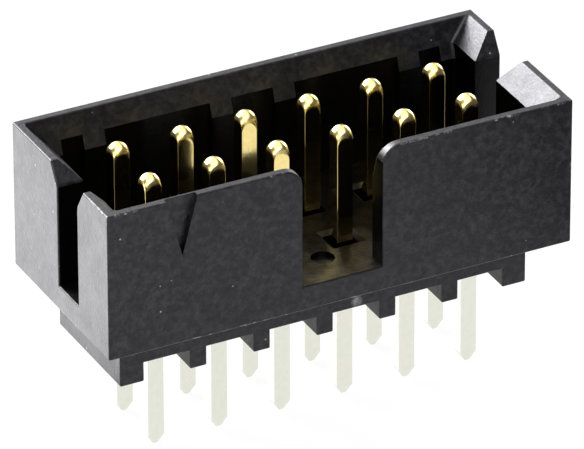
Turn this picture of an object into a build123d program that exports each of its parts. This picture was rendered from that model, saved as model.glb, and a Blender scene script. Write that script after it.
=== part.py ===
from build123d import *
import math
import os

# Box header: a moulded shroud that holds two rows of six square pins on a 2.00 mm grid.
# Millimetres. X runs along the rows and Y across them, with the key slot on the -Y side.
# Z = 0 is the face of the board: the feet stand on it and the tails go through it.

# Pins
PITCH = 2.00
COLUMNS = 6
ROWS = 2
PIN_SIDE = 0.50
PIN_BELOW_RIM = 0.23
TAIL_LENGTH = 2.65
CROWN_HEIGHT = 0.36
CROWN_TIP = 0.20
CROWN_BULGE = 0.035
CROWN_ROUND = 0.06
TAIL_TAPER = 0.42
TAIL_TIP = 0.16

# Heights of the moulding, from the board upwards
FOOT_HEIGHT = 0.60
SLAB_HEIGHT = 1.05
FLOOR_THICKNESS = 0.77
CAVITY_DEPTH = 3.83

# Shroud walls, measured outwards from the axes of the outermost pins
END_MARGIN = 1.48
END_WALL = 0.82
SIDE_MARGIN = 1.58
SIDE_WALL = 0.47
EDGE_ROUND = 0.05

# Lead-ins round the mouth
SIDE_RIM = 0.25
SIDE_LEAD_ANGLE = 18.0
END_RIM = 0.22
END_LEAD_DEPTH = 0.65

# Ribs on the inner faces of the long walls
RIB_WIDTH = 0.68
RIB_PROUD = 0.14
CORNER_RIB = 0.46
FRONT_INNER_ROUND = 0.25
BACK_INNER_ROUND = 0.12

# Key slot in the front wall, and the slots in the two end walls
KEY_WIDTH = 2.50
KEY_ROUND = 0.58
END_SLOT_WIDTH = 1.26
END_SLOT_FLARE = 0.40
END_SLOT_FLARE_DEPTH = 0.64
END_SLOT_ROUND = 0.25
LEFT_SLOT_SHIFT = -0.48
RIGHT_SLOT_SHIFT = 0.61

# Triangular mark beside pin 1
MARK_WIDTH = 0.96
MARK_HEIGHT = 1.82
MARK_DEPTH = 0.18

# Slab and feet under the shroud
SLAB_END_MARGIN = 1.45
SLAB_SIDE_MARGIN = 0.97
FOOT_WIDTH = 0.52
END_FOOT_WIDTH = 0.75

# Details of the cavity floor
POCKET_WIDTH = 0.80
POCKET_DEPTH = 0.45
POCKET_LEAD = 0.12
EJECTOR_DIAMETER = 0.70
EJECTOR_DEPTH = 0.16
EJECTOR_OFFSET = 0.82

# Places worked out from the sizes above
LAST_X = (COLUMNS - 1) * PITCH / 2
LAST_Y = (ROWS - 1) * PITCH / 2
CAVITY_X = LAST_X + END_MARGIN
CAVITY_Y = LAST_Y + SIDE_MARGIN
OUTER_X = CAVITY_X + END_WALL
OUTER_Y = CAVITY_Y + SIDE_WALL
RIB_Y = CAVITY_Y - RIB_PROUD
SHROUD_Z = FOOT_HEIGHT + SLAB_HEIGHT
FLOOR_Z = SHROUD_Z + FLOOR_THICKNESS
RIM_Z = FLOOR_Z + CAVITY_DEPTH
PIN_TOP_Z = RIM_Z - PIN_BELOW_RIM
SLAB_X = LAST_X + SLAB_END_MARGIN
SLAB_Y = LAST_Y + SLAB_SIDE_MARGIN
SIDE_MOUTH_Y = OUTER_Y - SIDE_RIM
END_MOUTH_X = OUTER_X - END_RIM

# How far a cutter runs past the faces it opens, and how close two places count as one
OVERCUT = 1.0
SAME_PLACE = 0.0001


def column_x(column):
    """X of a column of pins, counted from 0 at the marked end."""
    return column * PITCH - LAST_X


def row_y(row):
    """Y of a row of pins, counted from 0 at the key slot."""
    return row * PITCH - LAST_Y


def box_between(low, high):
    """Box from its lowest corner to its highest one."""
    size = [b - a for a, b in zip(low, high)]
    middle = [(a + b) / 2 for a, b in zip(low, high)]
    return Pos(*middle) * Box(*size)


def along_x(outline, x_from, x_to):
    """Prism of a closed outline of (y, z) points, from one X to another."""
    face = make_face(Plane.YZ * Polyline(*outline, close=True))
    return Pos(x_from, 0, 0) * extrude(face, amount=x_to - x_from, dir=(1, 0, 0))


def along_y(outline, y_from, y_to):
    """Prism of a closed outline of (x, z) points, from one Y to another."""
    corners = [(x, y_from, z) for x, z in outline]
    face = make_face(Polyline(*corners, close=True))
    return extrude(face, amount=y_to - y_from, dir=(0, 1, 0))


def side_lead_z(y):
    """Height at which the lead-in of a long wall reaches a given Y."""
    return RIM_Z - (SIDE_MOUTH_Y - y) / math.tan(math.radians(SIDE_LEAD_ANGLE))


def hollow_across(face_y, y_sign):
    """Outline, over one half of the width, of the hollow in front of a wall face."""
    open_y = SIDE_MOUTH_Y + (SIDE_MOUTH_Y - face_y) / (RIM_Z - side_lead_z(face_y)) * OVERCUT
    return [
        (0, FLOOR_Z),
        (y_sign * face_y, FLOOR_Z),
        (y_sign * face_y, side_lead_z(face_y)),
        (y_sign * open_y, RIM_Z + OVERCUT),
        (0, RIM_Z + OVERCUT),
    ]


def hollow_along():
    """Space between the end walls with their lead-ins, over the whole width."""
    lead_z = RIM_Z - END_LEAD_DEPTH
    open_x = END_MOUTH_X + (END_MOUTH_X - CAVITY_X) / END_LEAD_DEPTH * OVERCUT
    outline = [
        (-CAVITY_X, FLOOR_Z),
        (CAVITY_X, FLOOR_Z),
        (CAVITY_X, lead_z),
        (open_x, RIM_Z + OVERCUT),
        (-open_x, RIM_Z + OVERCUT),
        (-CAVITY_X, lead_z),
    ]
    return along_y(outline, -OUTER_Y, OUTER_Y)


def rib_spans(side):
    """X spans of the ribs on one long wall, with those in its two corners."""
    middle = COLUMNS // 2
    centres = [column_x(0), column_x(COLUMNS - 1)]
    if side < 0:
        reach = KEY_WIDTH / 2 + RIB_WIDTH / 2
        centres += [-reach, reach]
    else:
        centres += [column_x(middle - 1), column_x(middle)]
    spans = [(x - RIB_WIDTH / 2, x + RIB_WIDTH / 2) for x in sorted(centres)]
    corner = CAVITY_X - CORNER_RIB
    return [(-CAVITY_X, -corner)] + spans + [(corner, CAVITY_X)]


def corner_edges(hollow, side):
    """Edges that run up the two inner corners beside a long wall and out along the lead-ins."""
    inside_x = CAVITY_X - CORNER_RIB / 2
    inside_y = RIB_Y - RIB_PROUD / 2
    edges = []
    for edge in hollow.edges():
        centre = edge.center()
        upright = abs(edge.tangent_at(0.5).Z) > 0.5
        if upright and abs(centre.X) > inside_x and side * centre.Y > inside_y:
            edges.append(edge)
    return edges


def cavity():
    """The hollow for the plug: ribs stand proud between recessed panels."""
    reach = OUTER_X + OVERCUT
    hollow = None
    for side in (-1, 1):
        half = along_x(hollow_across(RIB_Y, side), -reach, reach)
        spans = rib_spans(side)
        for (_, start), (end, _) in zip(spans, spans[1:]):
            half += along_x(hollow_across(CAVITY_Y, side), start, end)
        hollow = half if hollow is None else hollow + half
    hollow = hollow & hollow_along()
    hollow = fillet(corner_edges(hollow, -1), FRONT_INNER_ROUND)
    return fillet(corner_edges(hollow, 1), BACK_INNER_ROUND)


def key_slot():
    """Slot through the front wall, with round shoulders at the rim."""
    half = KEY_WIDTH / 2
    shoulder_z = RIM_Z - KEY_ROUND
    y = -OUTER_Y - OVERCUT
    turn = KEY_ROUND * (1 - math.sqrt(0.5))
    right = [
        Line((half, y, FLOOR_Z), (half, y, shoulder_z)),
        ThreePointArc(
            (half, y, shoulder_z),
            (half + turn, y, RIM_Z - turn),
            (half + KEY_ROUND, y, RIM_Z),
        ),
        Line((half + KEY_ROUND, y, RIM_Z), (half + KEY_ROUND, y, RIM_Z + OVERCUT)),
    ]
    left = [mirror(edge, about=Plane.YZ) for edge in right]
    bottom = Line((-half, y, FLOOR_Z), (half, y, FLOOR_Z))
    top = Line((-half - KEY_ROUND, y, RIM_Z + OVERCUT), (half + KEY_ROUND, y, RIM_Z + OVERCUT))
    outline = make_face(Curve() + [*right, *left, bottom, top])
    return extrude(outline, amount=OUTER_Y + OVERCUT - RIB_Y + RIB_PROUD, dir=(0, 1, 0))


def end_slot(side, shift):
    """Slot through an end wall, flared at the rim."""
    half = END_SLOT_WIDTH / 2
    flare_z = RIM_Z - END_SLOT_FLARE_DEPTH
    wide = half + END_SLOT_FLARE
    outline = [
        (shift - half, FLOOR_Z),
        (shift + half, FLOOR_Z),
        (shift + half, flare_z),
        (shift + wide, RIM_Z),
        (shift + wide, RIM_Z + OVERCUT),
        (shift - wide, RIM_Z + OVERCUT),
        (shift - wide, RIM_Z),
        (shift - half, flare_z),
    ]
    inner = side * (CAVITY_X - CORNER_RIB / 2)
    outer = side * (OUTER_X + OVERCUT)
    prism = along_x(outline, min(inner, outer), max(inner, outer))
    bends = [e for e in prism.edges().filter_by(Axis.X) if FLOOR_Z < e.center().Z <= RIM_Z]
    return fillet(bends, END_SLOT_ROUND)


def pin_one_mark():
    """Shallow triangle in the front face, open at the rim, pointing down pin 1's column."""
    x = column_x(0)
    slope = MARK_WIDTH / 2 / MARK_HEIGHT
    wide = MARK_WIDTH / 2 + slope * OVERCUT
    outline = [
        (x, RIM_Z - MARK_HEIGHT),
        (x + wide, RIM_Z + OVERCUT),
        (x - wide, RIM_Z + OVERCUT),
    ]
    return along_y(outline, -OUTER_Y - OVERCUT, -OUTER_Y + MARK_DEPTH)


def pocket(x, y):
    """Square pocket in the floor round a pin, with a chamfered mouth."""
    mouth_width = POCKET_WIDTH + 2 * POCKET_LEAD
    mouth = Pos(x, y, FLOOR_Z) * Rectangle(mouth_width, mouth_width)
    throat = Pos(x, y, FLOOR_Z - POCKET_LEAD) * Rectangle(POCKET_WIDTH, POCKET_WIDTH)
    side = POCKET_WIDTH / 2
    well = box_between(
        (x - side, y - side, FLOOR_Z - POCKET_DEPTH),
        (x + side, y + side, FLOOR_Z - POCKET_LEAD),
    )
    return well + loft([throat, mouth])


def pin_hole(x, y):
    """Square hole that the pin fills, right through the moulding."""
    side = PIN_SIDE / 2
    return box_between((x - side, y - side, 0), (x + side, y + side, FLOOR_Z))


def foot(x_from, x_to):
    """Bar across the underside that holds the slab off the board."""
    return box_between((x_from, -SLAB_Y, 0), (x_to, SLAB_Y, FOOT_HEIGHT))


def feet():
    """One foot between each two columns of pins, and a wider one at each end."""
    bars = [foot(-SLAB_X, -SLAB_X + END_FOOT_WIDTH), foot(SLAB_X - END_FOOT_WIDTH, SLAB_X)]
    for column in range(COLUMNS - 1):
        x = column_x(column) + PITCH / 2
        bars.append(foot(x - FOOT_WIDTH / 2, x + FOOT_WIDTH / 2))
    return bars


def ejector_mark():
    """Round shallow pit that the mould leaves in the floor, behind the key slot."""
    pit = Cylinder(EJECTOR_DIAMETER / 2, EJECTOR_DEPTH, align=(Align.CENTER, Align.CENTER, Align.MAX))
    return Pos(0, row_y(0) - EJECTOR_OFFSET, FLOOR_Z) * pit


def edges_on(block, distances):
    """Edges that lie in the planes at given distances from 0, on both sides of it."""
    found = []
    for edge in block.edges():
        points = [edge.position_at(share) for share in (0, 0.5, 1)]
        for axis, distance in distances.items():
            if all(abs(abs(getattr(point, axis)) - distance) < SAME_PLACE for point in points):
                found.append(edge)
                break
    return found


def shroud():
    """The four walls and the floor between them, with the slots and with round outer edges."""
    block = box_between((-OUTER_X, -OUTER_Y, SHROUD_Z), (OUTER_X, OUTER_Y, RIM_Z))
    block -= cavity()
    block -= key_slot()
    block -= end_slot(-1, LEFT_SLOT_SHIFT)
    block -= end_slot(1, RIGHT_SLOT_SHIFT)
    return fillet(edges_on(block, {"X": OUTER_X, "Y": OUTER_Y, "Z": RIM_Z}), EDGE_ROUND)


def base():
    """The slab under the shroud and the feet under the slab, with round outer edges."""
    block = box_between((-SLAB_X, -SLAB_Y, FOOT_HEIGHT), (SLAB_X, SLAB_Y, SHROUD_Z)) + feet()
    outer = edges_on(block, {"X": SLAB_X, "Y": SLAB_Y, "Z": 0})
    free = [edge for edge in outer if edge.center().Z < SHROUD_Z - SAME_PLACE]
    return fillet(free, EDGE_ROUND)


def housing():
    """The one moulded piece: shroud, floor, slab and feet."""
    body = shroud() + base()
    body -= pin_one_mark()
    body -= ejector_mark()
    for column in range(COLUMNS):
        for row in range(ROWS):
            body -= pocket(column_x(column), row_y(row))
            body -= pin_hole(column_x(column), row_y(row))
    return body


def crowned_blank(height):
    """Square bar seen from one side, whose head closes in along two arcs to a round top."""
    half = PIN_SIDE / 2
    tip = CROWN_TIP / 2
    shoulder = height - CROWN_HEIGHT
    run = math.hypot(half - tip, CROWN_HEIGHT)
    bulge_x = (half + tip) / 2 + CROWN_BULGE * CROWN_HEIGHT / run
    bulge_z = height - CROWN_HEIGHT / 2 + CROWN_BULGE * (half - tip) / run
    right = [
        Line((half, 0, 0), (half, 0, shoulder)),
        ThreePointArc((half, 0, shoulder), (bulge_x, 0, bulge_z), (tip, 0, height)),
    ]
    left = [mirror(edge, about=Plane.YZ) for edge in right]
    ends = [Line((-tip, 0, height), (tip, 0, height)), Line((-half, 0, 0), (half, 0, 0))]
    outline = make_face(Curve() + [*right, *left, *ends])
    outline = fillet(outline.vertices().group_by(Axis.Z)[-1], CROWN_ROUND)
    return extrude(outline, amount=half, dir=(0, 1, 0), both=True)


def pin():
    """Square pin with a coined crown and a tapered tail, standing at the origin."""
    blank = crowned_blank(PIN_TOP_Z)
    upper = blank & (Rot(0, 0, 90) * blank)
    tail_z = TAIL_TAPER - TAIL_LENGTH
    half = PIN_SIDE / 2
    shank = box_between((-half, -half, tail_z), (half, half, 0))
    tip = Pos(0, 0, -TAIL_LENGTH) * Rectangle(TAIL_TIP, TAIL_TIP)
    root = Pos(0, 0, tail_z) * Rectangle(PIN_SIDE, PIN_SIDE)
    return upper + shank + loft([tip, root])


def main():
    """Build every piece and write each one to its own file."""
    os.makedirs("parts", exist_ok=True)
    export_step(housing(), "parts/housing.step")
    blank = pin()
    number = 0
    for column in range(COLUMNS):
        for row in range(ROWS):
            number += 1
            place = Pos(column_x(column), row_y(row), 0)
            export_step(place * blank, f"parts/pin_{number:02d}.step")


main()
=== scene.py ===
"""Looks of a small shrouded pin header: a black moulded box round two rows of plated pins.

Lengths inside the classes are millimetres in the part's own frame: X along the rows of pins, Y across
them with the key slot on the -Y side, Z up from the board. They become metres when a mesh is written.
"""

from __future__ import annotations

import logging
import math
from dataclasses import dataclass, field
from enum import Enum
from itertools import combinations

import bpy
import numpy as np
from mathutils import Matrix, Vector

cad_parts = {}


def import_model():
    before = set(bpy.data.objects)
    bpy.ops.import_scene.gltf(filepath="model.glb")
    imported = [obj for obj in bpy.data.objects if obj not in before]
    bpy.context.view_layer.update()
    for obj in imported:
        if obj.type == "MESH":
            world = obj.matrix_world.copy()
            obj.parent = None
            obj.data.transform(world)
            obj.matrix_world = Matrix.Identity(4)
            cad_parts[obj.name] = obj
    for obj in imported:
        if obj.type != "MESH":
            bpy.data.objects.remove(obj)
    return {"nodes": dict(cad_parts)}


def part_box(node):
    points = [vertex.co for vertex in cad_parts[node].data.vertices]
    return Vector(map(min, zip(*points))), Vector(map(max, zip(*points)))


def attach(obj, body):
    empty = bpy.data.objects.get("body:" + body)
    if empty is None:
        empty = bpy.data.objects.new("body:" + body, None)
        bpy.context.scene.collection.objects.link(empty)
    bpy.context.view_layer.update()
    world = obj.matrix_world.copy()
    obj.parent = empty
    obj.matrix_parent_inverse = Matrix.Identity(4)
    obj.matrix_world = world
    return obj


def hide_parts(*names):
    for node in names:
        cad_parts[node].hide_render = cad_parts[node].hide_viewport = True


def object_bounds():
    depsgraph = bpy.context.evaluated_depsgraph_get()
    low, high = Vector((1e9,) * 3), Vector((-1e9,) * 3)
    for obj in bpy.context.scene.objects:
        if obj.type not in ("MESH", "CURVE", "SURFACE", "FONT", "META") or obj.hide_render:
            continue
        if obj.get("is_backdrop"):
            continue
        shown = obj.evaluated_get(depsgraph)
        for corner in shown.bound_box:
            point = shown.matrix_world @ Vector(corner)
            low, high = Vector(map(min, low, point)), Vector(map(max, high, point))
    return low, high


LOG = logging.getLogger("box_header")
MM = 0.001
PHOTO_WIDTH = 584
SENSOR_WIDTH = 36.0

Socket = bpy.types.NodeSocket
Colour = tuple[float, float, float]
Place = tuple[float, float, float]
Span = tuple[float, float]
RISE: Span = (0.0, 1.0)
FALL: Span = (1.0, 0.0)


class Plating(Enum):
    """The two platings that meet inside the moulding, as places in a pin's list of materials."""

    GOLD = 0
    TIN = 1


class Blend(Enum):
    """What a Mix node mixes: its data type, the numbers of its two inputs, and that of its output."""

    NUMBER = ("FLOAT", 2, 3, 0)
    COLOUR = ("RGBA", 6, 7, 2)


@dataclass(frozen=True)
class Pattern:
    """Fractal noise in space.

    It has so many lumps to the millimetre and so many octaves, with a weight for the finer ones. The span
    is the range of its values that a finish reads.
    """

    per_mm: float
    octaves: float
    weight: float = 0.5
    span: Span = (0.3, 0.7)


class Bench:
    """A material's node tree, with short calls that add its nodes and join them."""

    def __init__(self, name: str) -> None:
        """Start an empty material.

        Args:
            name: Name of the material.
        """
        self.material = bpy.data.materials.new(name)
        self.material.use_nodes = True
        self.tree = self.material.node_tree
        self.tree.nodes.clear()
        self.output = self.tree.nodes.new("ShaderNodeOutputMaterial")

    def add(self, kind: str, **settings: object) -> bpy.types.Node:
        """Add a node and set its properties.

        Args:
            kind: Node type, without its ShaderNode prefix.
            settings: Properties of the node by name.

        Returns:
            The new node.
        """
        node = self.tree.nodes.new("ShaderNode" + kind)
        for name, value in settings.items():
            setattr(node, name, value)
        return node

    def feed(self, value: Socket | Colour | Place | float, target: Socket) -> None:
        """Join a socket to an input, or set a colour, a place or a number there.

        Args:
            value: What the input gets.
            target: Input socket.
        """
        if isinstance(value, Socket):
            self.tree.links.new(value, target)
        elif target.type == "RGBA":
            target.default_value = (*value, 1.0)
        else:
            target.default_value = value

    def millimetres(self, stretch: Place = (1.0, 1.0, 1.0)) -> Socket:
        """Object coordinates in millimetres.

        Args:
            stretch: Factor on each axis, under 1 to draw a pattern out along it.

        Returns:
            The vector output.
        """
        scale = self.add("Mapping", vector_type="POINT")
        self.feed(tuple(factor / MM for factor in stretch), scale.inputs["Scale"])
        self.feed(self.add("TexCoord").outputs["Object"], scale.inputs["Vector"])
        return scale.outputs["Vector"]

    def split(self, vector: Socket) -> dict[str, Socket]:
        """Take a vector apart.

        Args:
            vector: The vector.

        Returns:
            Its X, Y and Z by name.
        """
        node = self.add("SeparateXYZ")
        self.feed(vector, node.inputs[0])
        return {axis: node.outputs[axis] for axis in "XYZ"}

    def normal(self) -> dict[str, Socket]:
        """The X, Y and Z of the surface's own normal, by name."""
        return self.split(self.add("TexCoord").outputs["Normal"])

    def noise(self, place: Socket, pattern: Pattern) -> Socket:
        """Fractal noise over the surface, mostly between 0.3 and 0.7.

        Args:
            place: Coordinates in millimetres.
            pattern: How fine it is.

        Returns:
            The value output.
        """
        node = self.add("TexNoise", noise_dimensions="3D")
        self.feed(pattern.per_mm, node.inputs["Scale"])
        self.feed(pattern.octaves, node.inputs["Detail"])
        self.feed(pattern.weight, node.inputs["Roughness"])
        self.feed(place, node.inputs["Vector"])
        return node.outputs["Fac"]

    def spread(self, value: Socket, source: Span, target: Span) -> Socket:
        """Carry a value from one range to another, held at both ends.

        Args:
            value: Input value.
            source: Range that is read.
            target: Range that is written.

        Returns:
            The value output.
        """
        node = self.add("MapRange", clamp=True)
        names = ("From Min", "From Max", "To Min", "To Max")
        for name, number in zip(names, (*source, *target)):
            self.feed(number, node.inputs[name])
        self.feed(value, node.inputs["Value"])
        return node.outputs["Result"]

    def cloud(self, place: Socket, pattern: Pattern, target: Span = RISE) -> Socket:
        """A pattern's noise, carried from its own range to another.

        Args:
            place: Coordinates in millimetres.
            pattern: How fine the noise is, and the range that is read.
            target: Range that is written.

        Returns:
            The value output.
        """
        return self.spread(self.noise(place, pattern), pattern.span, target)

    def mix(self, kind: Blend, share: Socket, first: Socket | Colour | float,
            second: Socket | Colour | float) -> Socket:
        """Mix two colours or two numbers by a share that varies over the surface.

        Args:
            kind: Colours or numbers.
            share: 0 for the first, 1 for the second.
            first: A socket, a colour or a number.
            second: A socket, a colour or a number.

        Returns:
            The mixed output.
        """
        data_type, first_input, second_input, output = kind.value
        node = self.add("Mix", data_type=data_type)
        self.feed(share, node.inputs[0])
        self.feed(first, node.inputs[first_input])
        self.feed(second, node.inputs[second_input])
        return node.outputs[output]

    def calculate(self, operation: str, *values: Socket | float) -> Socket:
        """Do one sum.

        Args:
            operation: Name of the sum.
            values: Its inputs in order, as sockets or numbers.

        Returns:
            The value output.
        """
        node = self.add("Math", operation=operation)
        for value, target in zip(values, node.inputs):
            self.feed(value, target)
        return node.outputs[0]

    def bump(self, height: Socket, depth: Socket | float, under: Socket | None = None) -> Socket:
        """Turn a height pattern into a tilt of the surface.

        Args:
            height: Pattern, from 0 to 1.
            depth: Height of a full step of the pattern, in metres.
            under: Normal of a coarser bump that this one stands on.

        Returns:
            The normal output.
        """
        node = self.add("Bump")
        self.feed(1.0, node.inputs["Strength"])
        self.feed(depth, node.inputs["Distance"])
        self.feed(height, node.inputs["Height"])
        if under is not None:
            self.feed(under, node.inputs["Normal"])
        return node.outputs["Normal"]

    def principled(self, inputs: dict[str, Socket | Colour | float]) -> bpy.types.Material:
        """End the material in a Principled shader.

        Args:
            inputs: What the shader's inputs get, by name. A plain colour or number is set on the input.

        Returns:
            The finished material.
        """
        shader = self.add("BsdfPrincipled")
        for name, value in inputs.items():
            self.feed(value, shader.inputs[name])
        return self.finish(shader.outputs["BSDF"])

    def finish(self, shader: Socket) -> bpy.types.Material:
        """Join the shader to the output.

        Args:
            shader: The surface's shader.

        Returns:
            The finished material.
        """
        self.feed(shader, self.output.inputs["Surface"])
        return self.material


@dataclass(frozen=True)
class CoreFinishAndShade:
    """Shares of the surface that the mould's core shaped, made smoother and given painted shade: its
    walls, the flanks among them, the floor.
    """

    wall: Socket
    flank: Socket
    floor: Socket


@dataclass(frozen=True)
class MouldedPlastic:
    """Black glass-filled moulding.

    Its outside has a fine spark-eroded grain, cloudy shade, pale ends of fibre, broken pale lines along
    some of its edges that are partly scuffs and partly painted edge highlight, and a pale spot on the
    slab's front face. The walls that the mould's core shaped are smoother. They and the floor between the
    pins are also coloured blacker as painted shade of the cavity, the slots' sides keep the least gloss as
    painted shade, and the floor's gloss is tinted down as painted shade. The floor between the pins is
    mottled.
    """

    outer: Place
    shroud_low: float = 1.65
    floor_top: float = 2.42
    black: Colour = (0.0005, 0.0005, 0.002)
    worn_black: Colour = (0.017, 0.0175, 0.019)
    # painted shade: near black for the cavity's walls and floor, standing in for the light that the walls
    # keep out
    cavity_shade_black: Colour = (0.0004, 0.0004, 0.0003)
    faint_gloss: Colour = (0.78, 0.76, 0.86)
    full_gloss: Colour = (1.0, 0.98, 1.0)
    # painted shade: the floor between the pins reflects less, a tint standing in for the shade inside the
    # cavity
    floor_shaded_gloss: Colour = (0.40, 0.38, 0.33)
    fibre: Colour = (0.22, 0.22, 0.19)
    # partly scuff wear and partly painted edge highlight: pale colour of the broken lines along the edges
    scuff_and_edge_highlight: Colour = (0.22, 0.225, 0.22)
    pale_spot_colour: Colour = (0.34, 0.33, 0.32)
    roughness: Span = (0.34, 0.42)
    core_roughness: float = 0.24
    refraction: float = 1.47
    shine: float = 0.5
    # painted shade: the slots' sides keep almost no gloss, standing in for the shade in the slots
    flank_shaded_shine: float = 0.05
    floor_shine: Span = (0.20, 0.50)
    clouds: Pattern = Pattern(4.5, 6.0, 0.7, (0.44, 0.72))
    patches: Pattern = Pattern(6.5, 5.0, 0.75, (0.36, 0.64))
    mottle: Pattern = Pattern(2.4, 5.0, 0.65, (0.40, 0.60))
    grain: Pattern = Pattern(11.0, 4.0, 0.6)
    grain_depth: float = 0.009
    wave: Pattern = Pattern(1.3, 3.0)
    wave_depth: float = 0.006
    fleck_per_mm: float = 2.6
    fleck_radius: float = 0.034
    fleck_heart: float = 0.5
    fleck_share: float = 0.28
    pale_spot_place: Place = (1.0, -1.97, 0.80)
    pale_spot_radius: float = 0.20
    pale_spot_breaks: Pattern = Pattern(6.0, 4.0, 0.75, (0.36, 0.60))
    pale_spot_cover: Span = (0.2, 1.0)
    edge_reach: float = 0.07
    edge_line: Span = (0.15, 0.40)
    edge_breaks: Pattern = Pattern(6.0, 4.0, 0.75, (0.52, 0.64))
    scuffed_lengths: Pattern = Pattern(0.7, 2.0, 0.5, (0.46, 0.60))
    scuff_cover: Span = (0.0, 0.9)
    core_depth: Span = (0.22, 0.25)
    upright_lean: Span = (0.12, 0.20)
    level_lean: Span = (0.5, 0.9)
    above_low: Span = (0.0, 0.02)
    above_floor: Span = (0.01, 0.05)

    def flecks(self, bench: Bench, place: Socket) -> Socket:
        """Share of fibre at a point: a small disc round the middle of a few Voronoi cells.

        Args:
            bench: Tree that takes the nodes.
            place: Coordinates in millimetres.

        Returns:
            The share, from 0 to 1.
        """
        cells = bench.add("TexVoronoi", voronoi_dimensions="3D", feature="F1")
        bench.feed(self.fleck_per_mm, cells.inputs["Scale"])
        bench.feed(place, cells.inputs["Vector"])
        radius = self.fleck_radius * self.fleck_per_mm
        disc = bench.spread(cells.outputs["Distance"], (radius * self.fleck_heart, radius), FALL)
        lot = bench.add("SeparateColor")
        bench.feed(cells.outputs["Color"], lot.inputs["Color"])
        chosen = bench.calculate("LESS_THAN", lot.outputs[0], self.fleck_share)
        return bench.calculate("MULTIPLY", disc, chosen)

    def pale_spot(self, bench: Bench, place: Socket) -> Socket:
        """Share of a pale spot on the slab's front face, broken up by noise.

        Args:
            bench: Tree that takes the nodes.
            place: Coordinates in millimetres.

        Returns:
            The share, from 0 to 1.
        """
        away = bench.add("VectorMath", operation="DISTANCE")
        bench.feed(place, away.inputs[0])
        bench.feed(self.pale_spot_place, away.inputs[1])
        spot = bench.spread(away.outputs["Value"], (0.0, self.pale_spot_radius), FALL)
        return bench.calculate("MULTIPLY", spot, bench.cloud(place, self.pale_spot_breaks, self.pale_spot_cover))

    def depths(self, bench: Bench, place: Socket) -> tuple[Socket, Socket, Socket]:
        """How far a point lies inside the shroud's outer faces across X, across Y and along Z.

        Across X and Y it is the half-length less the coordinate's size. Along Z it is the way to the rim
        or to the shroud's lower edge, whichever is the shorter.

        Args:
            bench: Tree that takes the nodes.
            place: Coordinates in millimetres.

        Returns:
            Three values in millimetres.
        """
        axes = bench.split(place)
        half_length, half_width, rim = self.outer
        from_end = bench.calculate("SUBTRACT", half_length, bench.calculate("ABSOLUTE", axes["X"]))
        from_side = bench.calculate("SUBTRACT", half_width, bench.calculate("ABSOLUTE", axes["Y"]))
        from_rim = bench.calculate("SUBTRACT", rim, axes["Z"])
        from_low = bench.calculate("SUBTRACT", axes["Z"], self.shroud_low)
        return from_end, from_side, bench.calculate("MINIMUM", from_rim, from_low)

    def scuffs_and_edge_highlights(self, bench: Bench, place: Socket) -> Socket:
        """Share of scuff and painted edge highlight at a point: broken pale lines where two outer faces of
        the shroud meet.

        A point is near an edge where two of its three depths are about zero, so the line is the largest
        product of two nearnesses. One noise breaks it up and a coarser one picks the scuffed lengths.

        Args:
            bench: Tree that takes the nodes.
            place: Coordinates in millimetres.

        Returns:
            The share, from 0 to 1.
        """
        near = [
            bench.spread(bench.calculate("ABSOLUTE", depth), (0.0, self.edge_reach), FALL)
            for depth in self.depths(bench, place)
        ]
        pairs = [bench.calculate("MULTIPLY", *pair) for pair in combinations(near, 2)]
        edge = bench.calculate("MAXIMUM", pairs[0], bench.calculate("MAXIMUM", pairs[1], pairs[2]))
        line = bench.spread(edge, self.edge_line, RISE)
        broken = bench.cloud(place, self.edge_breaks)
        scuffed = bench.cloud(place, self.scuffed_lengths, self.scuff_cover)
        return bench.calculate("MULTIPLY", line, bench.calculate("MULTIPLY", broken, scuffed))

    def core_finish_and_shade(self, bench: Bench, place: Socket) -> CoreFinishAndShade:
        """Find what the mould's core shaped, which is made smoother and given the painted shade of the
        cavity.

        A wall belongs to the core where it is upright and, along its own normal, lies deeper than the
        shroud's outer skin. That takes in the sides of the slots, but not the rim, the lead-ins or the
        outside. Flanks are its walls that face along the rows. The floor is what lies inside and low.

        Args:
            bench: Tree that takes the nodes.
            place: Coordinates in millimetres.

        Returns:
            The shares, from 0 to 1.
        """
        normal = bench.normal()
        height = bench.split(place)["Z"]
        faces = []
        for axis, depth in zip("XY", self.depths(bench, place)):
            square = bench.calculate("MULTIPLY", normal[axis], normal[axis])
            faces.append(bench.calculate("MULTIPLY", square, bench.spread(depth, self.core_depth, RISE)))
        along, across = faces
        upright = bench.spread(bench.calculate("ABSOLUTE", normal["Z"]), self.upright_lean, FALL)
        low_edge = tuple(self.shroud_low + rise for rise in self.above_low)
        above = bench.spread(height, low_edge, RISE)
        cover = bench.calculate("MULTIPLY", upright, above)
        floor_edge = tuple(self.floor_top + rise for rise in self.above_floor)
        low = bench.spread(height, floor_edge, FALL)
        level = bench.spread(normal["Z"], self.level_lean, RISE)
        return CoreFinishAndShade(
            wall=bench.calculate("MULTIPLY", bench.calculate("ADD", along, across), cover),
            flank=bench.calculate("MULTIPLY", along, cover),
            floor=bench.calculate("MULTIPLY", bench.calculate("MULTIPLY", low, level), above),
        )

    def colour(self, bench: Bench, place: Socket, core: CoreFinishAndShade) -> Socket:
        """Lay the plastic's colours over each other: its own, the painted shade of the cavity, and pale
        edges that are partly scuffs and partly painted highlight.

        Args:
            bench: Tree that takes the nodes.
            place: Coordinates in millimetres.
            core: What the mould's core shaped, where the shade is painted.

        Returns:
            The colour output.
        """
        shade = bench.mix(Blend.COLOUR, bench.cloud(place, self.clouds), self.black, self.worn_black)
        layers = (
            (self.flecks(bench, place), self.fibre),
            # painted shade: the cavity's walls and floor take the near-black colour, for the light that
            # the walls keep out
            (bench.calculate("MAXIMUM", core.wall, core.floor), self.cavity_shade_black),
            # pale lines along the edges: partly scuffs, partly painted edge highlight
            (self.scuffs_and_edge_highlights(bench, place), self.scuff_and_edge_highlight),
            (self.pale_spot(bench, place), self.pale_spot_colour),
        )
        for share, upper in layers:
            shade = bench.mix(Blend.COLOUR, share, shade, upper)
        return shade

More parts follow.
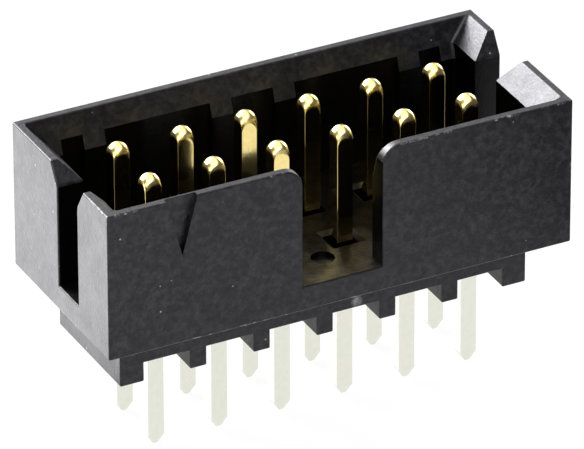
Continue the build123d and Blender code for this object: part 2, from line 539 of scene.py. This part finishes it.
    def material(self) -> bpy.types.Material:
        """Build the plastic.

        Returns:
            The material.
        """
        bench = Bench("moulded_plastic")
        place = bench.millimetres()
        core = self.core_finish_and_shade(bench, place)
        tint = bench.mix(Blend.COLOUR, bench.cloud(place, self.patches), self.faint_gloss, self.full_gloss)
        mottle = bench.cloud(place, self.mottle, self.floor_shine)
        shine = bench.mix(Blend.NUMBER, core.floor, self.shine, mottle)
        wave = bench.noise(place, self.wave)
        rough = bench.spread(wave, self.wave.span, self.roughness)
        tilt = bench.bump(wave, self.wave_depth * MM)
        return bench.principled({
            "Base Color": self.colour(bench, place, core),
            "IOR": self.refraction,
            # painted shade: the gloss on the floor between the pins is tinted down for the cavity's shade
            "Specular Tint": bench.mix(Blend.COLOUR, core.floor, tint, self.floor_shaded_gloss),
            # painted shade: the slots' sides get almost no gloss
            "Specular IOR Level": bench.mix(Blend.NUMBER, core.flank, shine, self.flank_shaded_shine),
            "Roughness": bench.mix(Blend.NUMBER, core.wall, rough, self.core_roughness),
            "Normal": bench.bump(bench.noise(place, self.grain), self.grain_depth * MM, tilt),
        })


@dataclass(frozen=True)
class PlatedMetal:
    """Plating on a drawn square wire: faint draw lines along it, and small dents where it was coined.

    The two flat sides that face along the rows can be given a paler colour, a painted highlight for the
    strong light on the pins' left sides.
    """

    name: str
    bright: Colour
    dull: Colour
    roughness: Span
    # painted highlight: paler colour of the sides that face along the rows, for the light that falls on
    # the left ones
    side: Colour | None = None
    painted_side_lean: Span = (0.93, 0.98)
    lines: Pattern = Pattern(16.0, 3.0, 0.6)
    line_stretch: float = 0.04
    line_depth: float = 0.00015
    dimples: Pattern = Pattern(7.0, 3.0, 0.5, (0.35, 0.65))
    dimple_depth: float = 0.0006
    coined_dimple_depth: float = 0.004
    coined_roughness: float = 0.28
    coined_lean: Span = (0.04, 0.16)

    def material(self) -> bpy.types.Material:
        """Build the plating.

        Returns:
            The material.
        """
        bench = Bench(self.name)
        lines = bench.noise(bench.millimetres((1.0, 1.0, self.line_stretch)), self.lines)
        dimples = bench.noise(bench.millimetres(), self.dimples)
        normal = bench.normal()
        tone = bench.spread(dimples, self.dimples.span, RISE)
        colour = bench.mix(Blend.COLOUR, tone, self.bright, self.dull)
        # painted highlight: the sides that face along the rows take the paler side colour
        if self.side is not None:
            along = bench.spread(bench.calculate("ABSOLUTE", normal["X"]), self.painted_side_lean, RISE)
            colour = bench.mix(Blend.COLOUR, along, colour, self.side)
        coined = bench.spread(normal["Z"], self.coined_lean, RISE)
        rough = bench.spread(lines, self.lines.span, self.roughness)
        depth = bench.spread(coined, RISE, (self.dimple_depth * MM, self.coined_dimple_depth * MM))
        return bench.principled({
            "Base Color": colour,
            "Metallic": 1.0,
            "Roughness": bench.mix(Blend.NUMBER, coined, rough, self.coined_roughness),
            "Normal": bench.bump(lines, self.line_depth * MM, bench.bump(dimples, depth)),
        })


@dataclass(frozen=True)
class PaleFloor:
    """White table: it takes a soft shadow, and its lit part shows white to the camera and in gloss.

    Each share says how much of the lit paper, and so of its shadow, that kind of ray sees. The rest is a
    plain white.
    """

    white: Colour = (0.86, 0.86, 0.86)
    shadow_share: float = 0.07
    gloss_shadow_share: float = 0.04

    def material(self) -> bpy.types.Material:
        """Build the floor's finish.

        Returns:
            The material.
        """
        bench = Bench("pale_floor")
        paper = bench.add("BsdfDiffuse")
        bench.feed(self.white, paper.inputs["Color"])
        glow = bench.add("Emission")
        bench.feed(1.0, glow.inputs["Strength"])
        path = bench.add("LightPath")
        shown = paper.outputs[0]
        rays = (("Is Glossy Ray", self.gloss_shadow_share), ("Is Camera Ray", self.shadow_share))
        for ray, share in rays:
            seen = bench.add("MixShader")
            pick = bench.add("MixShader")
            for value, target in zip((share, glow.outputs[0], paper.outputs[0]), seen.inputs):
                bench.feed(value, target)
            for value, target in zip((path.outputs[ray], shown, seen.outputs[0]), pick.inputs):
                bench.feed(value, target)
            shown = pick.outputs[0]
        return bench.finish(shown)


@dataclass(frozen=True)
class MattCard:
    """Matt card of one colour."""

    colour: Colour

    def material(self) -> bpy.types.Material:
        """Build the card's finish.

        Returns:
            The material.
        """
        bench = Bench("matt_card")
        paper = bench.add("BsdfDiffuse")
        bench.feed(self.colour, paper.inputs["Color"])
        return bench.finish(paper.outputs[0])


def surface_object(name: str, points: np.ndarray, faces: np.ndarray) -> bpy.types.Object:
    """Make a mesh object from points in millimetres.

    Args:
        name: Name of the object and its mesh.
        points: Vertices, one row each.
        faces: Corner indices of four-sided faces, one row each.

    Returns:
        The object, linked to the scene with its place in its mesh.
    """
    mesh = bpy.data.meshes.new(name)
    mesh.vertices.add(len(points))
    mesh.vertices.foreach_set("co", (points * MM).astype(np.float32).ravel())
    mesh.loops.add(faces.size)
    mesh.loops.foreach_set("vertex_index", faces.astype(np.int32).ravel())
    mesh.polygons.add(len(faces))
    mesh.polygons.foreach_set("loop_start", np.arange(0, faces.size, 4, dtype=np.int32))
    mesh.update(calc_edges=True)
    mesh.validate()
    thing = bpy.data.objects.new(name, mesh)
    bpy.context.scene.collection.objects.link(thing)
    return thing


def level_sheet(name: str, low: Span, high: Span, height: float) -> bpy.types.Object:
    """Make one level rectangle, face up: each of two X with each of two Y, at one height.

    Args:
        name: Name of the object.
        low: Its least X and Y.
        high: Its greatest X and Y.
        height: Its Z.

    Returns:
        The sheet.
    """
    x, y = np.meshgrid([low[0], high[0]], [low[1], high[1]])
    points = np.stack([x, y, np.full_like(x, height)], axis=-1).reshape(-1, 3)
    return surface_object(name, points, np.array([[0, 1, 3, 2]]))


def soft_box(name: str, width: float, height: float, radiance: float) -> bpy.types.Object:
    """Make an evenly bright rectangle that shines along its own -Z.

    Its power is radiance times pi times area, so a matt white sheet close before it looks as bright.

    Args:
        name: Name of the lamp.
        width: Its size along its own X.
        height: Its size along its own Y.
        radiance: Its brightness, with 1 for white.

    Returns:
        The lamp, at the origin.
    """
    data = bpy.data.lights.new(name, "AREA")
    data.shape = "RECTANGLE"
    data.size = width * MM
    data.size_y = height * MM
    data.energy = radiance * math.pi * data.size * data.size_y
    lamp = bpy.data.objects.new(name, data)
    bpy.context.scene.collection.objects.link(lamp)
    return lamp


@dataclass
class Pin:
    """One square pin: coined gold head, square shank and tapered tin tail."""

    node: str
    low: np.ndarray
    high: np.ndarray
    side: float = 0.50
    edge_round: float = 0.016
    crown_height: float = 0.42
    crown_blend: float = 0.22
    crown_rings: int = 14
    pole_gap: float = 0.08
    plating_line: float = 1.9
    tail_taper: float = 0.30
    tail_tip: Span = (0.16, 0.36)
    tip_bevel: float = 0.03
    sharp_angle: float = 21.0
    arc_steps: int = 6
    flat_steps: int = 10

    def outline(self) -> tuple[np.ndarray, np.ndarray]:
        """Corner places and arc directions round a square whose half-width is 1.

        A point of a ring is corner times (half-width minus radius) plus direction times radius. On a
        corner the direction turns through a quarter circle. On a flat it stays, and the corner slides to
        the next one in steps that crowd towards both ends.

        Returns:
            Corners and directions, one row for each point round the ring.
        """
        quarter = np.arange(4)[:, None] * math.pi / 2
        turn = quarter + np.linspace(0.0, math.pi / 2, self.arc_steps)[None, :]
        direction = np.stack([np.cos(turn), np.sin(turn)], axis=-1)
        middle = quarter + math.pi / 4
        corner = np.stack([np.cos(middle), np.sin(middle)], axis=-1) * math.sqrt(2)
        slide = (1 - np.cos(np.linspace(0.0, math.pi, self.flat_steps + 1)[1:-1])) / 2
        onward = np.roll(corner, -1, axis=0)
        flat_corner = corner + (onward - corner) * slide[None, :, None]
        flat_direction = np.repeat(direction[:, -1:], len(slide), axis=1)
        corners = np.concatenate([np.repeat(corner, self.arc_steps, axis=1), flat_corner], axis=1)
        directions = np.concatenate([direction, flat_direction], axis=1)
        return corners.reshape(-1, 2), directions.reshape(-1, 2)

    def shank(self, corner: np.ndarray, direction: np.ndarray) -> np.ndarray:
        """Level rings from the tail's tip to the plating line.

        Each is the outline at one height, with its own half-width across X and across Y: the bevelled end
        of the tip, the tip, and twice the square wire.

        Args:
            corner: Corners of the outline.
            direction: Directions of the outline.

        Returns:
            Rings of points round the pin's axis, in millimetres.
        """
        half, foot, tip = np.full(2, self.side / 2), self.low[2], np.array(self.tail_tip) / 2
        z = np.array([foot, foot + self.tip_bevel, foot + self.tail_taper, self.plating_line])
        width = np.array([tip - self.tip_bevel, tip, half, half])[:, None, :]
        flat = corner[None] * (width - self.edge_round) + direction[None] * self.edge_round
        level = np.broadcast_to(z[:, None, None], (len(z), len(corner), 1))
        return np.concatenate([flat, level], axis=2)

    def crown(self, corner: np.ndarray, direction: np.ndarray) -> np.ndarray:
        """Rings of the dome that cuts the square wire, from just under its outline towards the axis.

        The dome is half an ellipsoid over the circle through the pin's corners. Its height falls from the
        top by the crown's height times one minus the root of one minus (distance from the axis over the
        distance of a corner) squared, so each flat side ends in an arc. The first ring repeats that arc
        lower down the wire, and the shading turns gently between the two.

        Args:
            corner: Corners of the outline.
            direction: Directions of the outline.

        Returns:
            Rings of points round the pin's axis, in millimetres.
        """
        flat = corner * (self.side / 2 - self.edge_round) + direction * self.edge_round
        share = np.sin(np.linspace(math.pi / 2, self.pole_gap, self.crown_rings))[:, None, None]
        ring = flat[None] * share
        reach = np.hypot(ring[..., 0], ring[..., 1]) / np.hypot(flat[:, 0], flat[:, 1]).max()
        z = self.high[2] - self.crown_height * (1 - np.sqrt(1 - np.minimum(reach, 1.0) ** 2))
        dome = np.concatenate([ring, z[..., None]], axis=2)
        below = dome[:1] - np.array([0.0, 0.0, self.crown_blend])
        return np.concatenate([below, dome])

    @staticmethod
    def skin(rings: int, around: int) -> tuple[np.ndarray, np.ndarray]:
        """Four-sided faces between neighbouring rings, and fans that close both ends.

        Point p of ring r is number r times around plus p. A face of the wall joins points p and p + 1 of
        rings r and r + 1. A face of a fan joins three neighbours of an end ring to that end's middle: the
        middles of the foot and of the top are numbered after the rings, in that order.

        Args:
            rings: Number of rings.
            around: Points in a ring.

        Returns:
            Corner indices of the faces, and the number of the ring that each one starts from.
        """
        ring, point = np.meshgrid(np.arange(rings - 1), np.arange(around), indexing="ij")
        onward = (point + 1) % around
        here, above = ring * around, (ring + 1) * around
        wall = np.stack([here + point, here + onward, above + onward, above + point], axis=-1)
        even = np.arange(0, around, 2)
        third = (even + 2) % around
        last = (rings - 1) * around
        foot, top = np.full(len(even), rings * around), np.full(len(even), rings * around + 1)
        base = np.stack([foot, third, even + 1, even], axis=-1)
        cap = np.stack([top, last + even, last + even + 1, last + third], axis=-1)
        start = np.concatenate([ring.ravel(), np.zeros(len(base)), np.full(len(cap), rings)])
        return np.concatenate([wall.reshape(-1, 4), base, cap]), start

    def soften(self, mesh: bpy.types.Mesh, row: int, around: int) -> None:
        """Shade smoothly across the arcs in which the flat sides end, as coining leaves them.

        Args:
            mesh: The pin's mesh, with its sharp edges marked.
            row: Number of the ring that runs along the arcs.
            around: Points in a ring.
        """
        ends = np.empty(len(mesh.edges) * 2, dtype=np.int32)
        mesh.edges.foreach_get("vertices", ends)
        arcs = (ends.reshape(-1, 2) // around == row).all(axis=1)
        sharp = np.empty(len(mesh.edges), dtype=bool)
        mesh.edges.foreach_get("use_edge_sharp", sharp)
        mesh.edges.foreach_set("use_edge_sharp", sharp & ~arcs)
        mesh.update()

    def build(self, finishes: list[bpy.types.Material]) -> bpy.types.Object:
        """Make the pin's surface over its CAD solid.

        Args:
            finishes: Gold and tin, in the order of Plating.

        Returns:
            The pin.
        """
        corner, direction = self.outline()
        around = len(corner)
        shank = self.shank(corner, direction)
        rings = np.concatenate([shank, self.crown(corner, direction)])
        axis = np.array([*(self.low[:2] + self.high[:2]) / 2, 0.0])
        middles = np.array([[0.0, 0.0, self.low[2]], [0.0, 0.0, self.high[2]]])
        points = np.concatenate([rings.reshape(-1, 3), middles]) + axis
        faces, start = self.skin(len(rings), around)
        thing = surface_object(self.node.replace("pin", "contact"), points, faces)
        for finish in finishes:
            thing.data.materials.append(finish)
        tin = start < len(shank) - 1
        plating = np.where(tin, Plating.TIN.value, Plating.GOLD.value).astype(np.int32)
        thing.data.polygons.foreach_set("material_index", plating)
        thing.data.polygons.foreach_set("use_smooth", np.ones(len(faces), dtype=bool))
        thing.data.set_sharp_from_angle(angle=math.radians(self.sharp_angle))
        self.soften(thing.data, len(shank) + 1, around)
        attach(thing, "root")
        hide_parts(self.node)
        return thing


@dataclass
class Housing:
    """The moulding, shown as the CAD solid itself with the plastic's finish."""

    finish: MouldedPlastic
    node: str = "housing"

    def dress(self, nodes: dict[str, bpy.types.Object]) -> bpy.types.Object:
        """Give the moulding its finish.

        Args:
            nodes: The frame's CAD nodes by name.

        Returns:
            The housing.
        """
        thing = nodes[self.node]
        thing.material_slots[0].material = self.finish.material()
        return thing


@dataclass(frozen=True)
class Lamp:
    """One soft box on a sphere round the part: a rectangle of even brightness that faces it."""

    name: str
    azimuth: float
    elevation: float
    width: float
    height: float
    radiance: float
    distance: float = 400.0

    def place(self, target: Vector) -> bpy.types.Object:
        """Put the lamp on its sphere, facing the part.

        Args:
            target: Point that the lamp faces, in metres.

        Returns:
            The lamp's object.
        """
        azimuth, elevation = math.radians(self.azimuth), math.radians(self.elevation)
        level = math.cos(elevation)
        away = Vector((math.sin(azimuth) * level, -math.cos(azimuth) * level, math.sin(elevation)))
        lamp = soft_box(self.name, self.width, self.height, self.radiance)
        lamp.location = target + away * self.distance * MM
        lamp.rotation_euler = away.to_track_quat("Z", "Y").to_euler()
        return lamp


@dataclass(frozen=True)
class Card:
    """A bright card that lies just over the floor behind the part and lights it from below."""

    low: Span = (-60.0, 2.0)
    high: Span = (-8.0, 40.0)
    radiance: float = 3.4
    height: float = 0.2

    def lay(self, ground: float) -> bpy.types.Object:
        """Lay the card, face up and out of the camera's sight.

        Args:
            ground: Height of the floor in millimetres.

        Returns:
            The card's lamp.
        """
        length, width = (b - a for a, b in zip(self.low, self.high))
        x, y = ((a + b) / 2 for a, b in zip(self.low, self.high))
        lamp = soft_box("card", length, width, self.radiance)
        lamp.location = Vector((x, y, ground + self.height)) * MM
        lamp.rotation_euler = (math.pi, 0.0, 0.0)
        lamp.visible_camera = False
        return lamp


@dataclass(frozen=True)
class ReflectedShadeFlag:
    """A black card on the floor to the right of the camera's view, which only gloss sees: painted shade
    that stands in for the part's shadow on the floor in its reflections.
    """

    low: Span = (10.5, -70.0)
    high: Span = (70.0, -6.0)
    height: float = 0.2
    # painted shade: the dark grey that gloss sees in place of the shaded floor
    finish: MattCard = MattCard((0.12, 0.12, 0.12))

    def lay(self, ground: float) -> bpy.types.Object:
        """Lay the card, without a shadow of its own.

        Args:
            ground: Height of the floor in millimetres.

        Returns:
            The card.
        """
        card = level_sheet("shade_flag", self.low, self.high, ground + self.height)
        card.data.materials.append(self.finish.material())
        card.visible_camera = False
        card.visible_diffuse = False
        card.visible_shadow = False
        card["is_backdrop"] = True
        return card


@dataclass
class Studio:
    """Floor, lamps, sky and the camera at the photograph's view.

    The black plastic shows mostly gloss, pale on its end and dark on its front. So the lamps behind the
    part are the bright ones, and the floor, the card and the shade flag give what its lower gloss
    reflects;
    the shade flag is painted shade in those reflections.
    """

    azimuth: float = 27.037
    elevation: float = 29.812
    roll: float = -0.115
    focal_pixels: float = 8015.2
    distance: float = 226.80
    aim_height: float = 3.15
    slide_right: float = -0.039
    slide_up: float = -0.507
    clip: Span = (10.0, 10000.0)
    floor_width: float = 3000.0
    sky: float = 0.06
    floor: PaleFloor = field(default_factory=PaleFloor)
    lamps: tuple[Lamp, ...] = (
        Lamp("back_left_high", azimuth=210.0, elevation=32.0, width=207.0, height=190.0, radiance=28.0),
        Lamp("back_high", azimuth=180.0, elevation=32.0, width=207.0, height=190.0, radiance=6.0),
        Lamp("back_low", azimuth=194.0, elevation=8.0, width=420.0, height=170.0, radiance=9.0),
        Lamp("back_right", azimuth=152.0, elevation=30.0, width=220.0, height=190.0, radiance=1.2),
        Lamp("back_right_low", azimuth=122.0, elevation=8.0, width=207.0, height=190.0, radiance=11.0),
        Lamp("front_top", azimuth=338.0, elevation=42.0, width=420.0, height=280.0, radiance=3.0),
        Lamp("left_front", azimuth=300.0, elevation=13.0, width=300.0, height=230.0, radiance=2.6),
        Lamp("overhead", azimuth=0.0, elevation=88.0, width=560.0, height=560.0, radiance=1.6),
    )
    card: Card = field(default_factory=Card)
    shade_flag: ReflectedShadeFlag = field(default_factory=ReflectedShadeFlag)

    def camera(self) -> bpy.types.Object:
        """Make the camera and look through it.

        Returns:
            The camera's object.
        """
        angles = (self.azimuth, self.elevation, self.roll)
        azimuth, elevation, roll = (math.radians(angle) for angle in angles)
        flat = math.cos(elevation)
        away = Vector((-math.sin(azimuth) * flat, -math.cos(azimuth) * flat, math.sin(elevation)))
        level = (-away).cross(Vector((0.0, 0.0, 1.0))).normalized()
        upright = level.cross(-away)
        right = level * math.cos(roll) + upright * math.sin(roll)
        up = upright * math.cos(roll) - level * math.sin(roll)
        data = bpy.data.cameras.new("camera")
        data.sensor_fit = "HORIZONTAL"
        data.sensor_width = SENSOR_WIDTH
        data.lens = self.focal_pixels / PHOTO_WIDTH * SENSOR_WIDTH
        data.clip_start, data.clip_end = (reach * MM for reach in self.clip)
        aim = Vector((0.0, 0.0, self.aim_height))
        spot = aim + away * self.distance + level * self.slide_right + upright * self.slide_up
        camera = bpy.data.objects.new("camera", data)
        turn = Matrix((right, up, away)).transposed()
        camera.matrix_world = Matrix.Translation(spot * MM) @ turn.to_4x4()
        bpy.context.scene.collection.objects.link(camera)
        bpy.context.scene.camera = camera
        return camera

    def lay_floor(self, ground: float) -> bpy.types.Object:
        """Lay the table that the tails stand on.

        Args:
            ground: Its height in millimetres.

        Returns:
            The floor.
        """
        half = self.floor_width / 2
        floor = level_sheet("floor", (-half, -half), (half, half), ground)
        floor.data.materials.append(self.floor.material())
        floor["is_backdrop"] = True
        return floor

    def light_sky(self) -> bpy.types.World:
        """Light the scene dimly from all round, with a sky that is white to the camera alone.

        Returns:
            The world.
        """
        world = bpy.data.worlds.new("sky")
        world.use_nodes = True
        tree = world.node_tree
        tree.nodes.clear()
        path = tree.nodes.new("ShaderNodeLightPath")
        pick = tree.nodes.new("ShaderNodeMixShader")
        out = tree.nodes.new("ShaderNodeOutputWorld")
        tree.links.new(path.outputs["Is Camera Ray"], pick.inputs["Fac"])
        for strength, target in zip((self.sky, 1.0), pick.inputs[1:]):
            background = tree.nodes.new("ShaderNodeBackground")
            background.inputs["Color"].default_value = (1.0, 1.0, 1.0, 1.0)
            background.inputs["Strength"].default_value = strength
            tree.links.new(background.outputs[0], target)
        tree.links.new(pick.outputs[0], out.inputs["Surface"])
        bpy.context.scene.world = world
        return world

    def build(self, ground: float) -> None:
        """Set up everything round the part.

        Args:
            ground: Height of the tails' tips, in millimetres.
        """
        self.lay_floor(ground)
        self.light_sky()
        for lamp in self.lamps:
            lamp.place(Vector((0.0, 0.0, self.aim_height * MM)))
        self.card.lay(ground)
        self.shade_flag.lay(ground)
        self.camera()
        bpy.context.scene.view_settings.view_transform = "Standard"


def platings() -> list[bpy.types.Material]:
    """The two platings of a pin.

    Returns:
        Gold and tin, in the order of Plating.
    """
    gold = PlatedMetal(
        "gold_plating",
        bright=(0.94, 0.78, 0.34),
        dull=(0.91, 0.72, 0.28),
        roughness=(0.07, 0.12),
    )
    tin = PlatedMetal(
        "tin_plating",
        bright=(0.805, 0.81, 0.72),
        dull=(0.78, 0.785, 0.695),
        roughness=(0.20, 0.28),
        # painted highlight: near white on the tails' sides along the rows, for the light on their left
        # sides
        side=(0.99, 0.99, 0.97),
        coined_dimple_depth=0.001,
    )
    return [gold.material(), tin.material()]


def main() -> None:
    """Load the frame, dress every piece and light the scene."""
    logging.basicConfig(level=logging.INFO, format="%(name)s: %(message)s")
    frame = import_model()
    cad_box = [list(corner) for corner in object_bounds()]
    outer = tuple(reach / MM for reach in cad_box[1])
    housing = Housing(MouldedPlastic(outer)).dress(frame["nodes"])
    LOG.info("%s: %d faces", housing.name, len(housing.data.polygons))
    finishes = platings()
    for node in sorted(name for name in frame["nodes"] if name.startswith("pin_")):
        low, high = (np.array(corner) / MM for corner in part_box(node))
        pin = Pin(node, low, high).build(finishes)
        LOG.info("%s: %d faces", pin.name, len(pin.data.polygons))
    Studio().build(ground=cad_box[0][2] / MM)


if __name__ == "__main__":
    main()
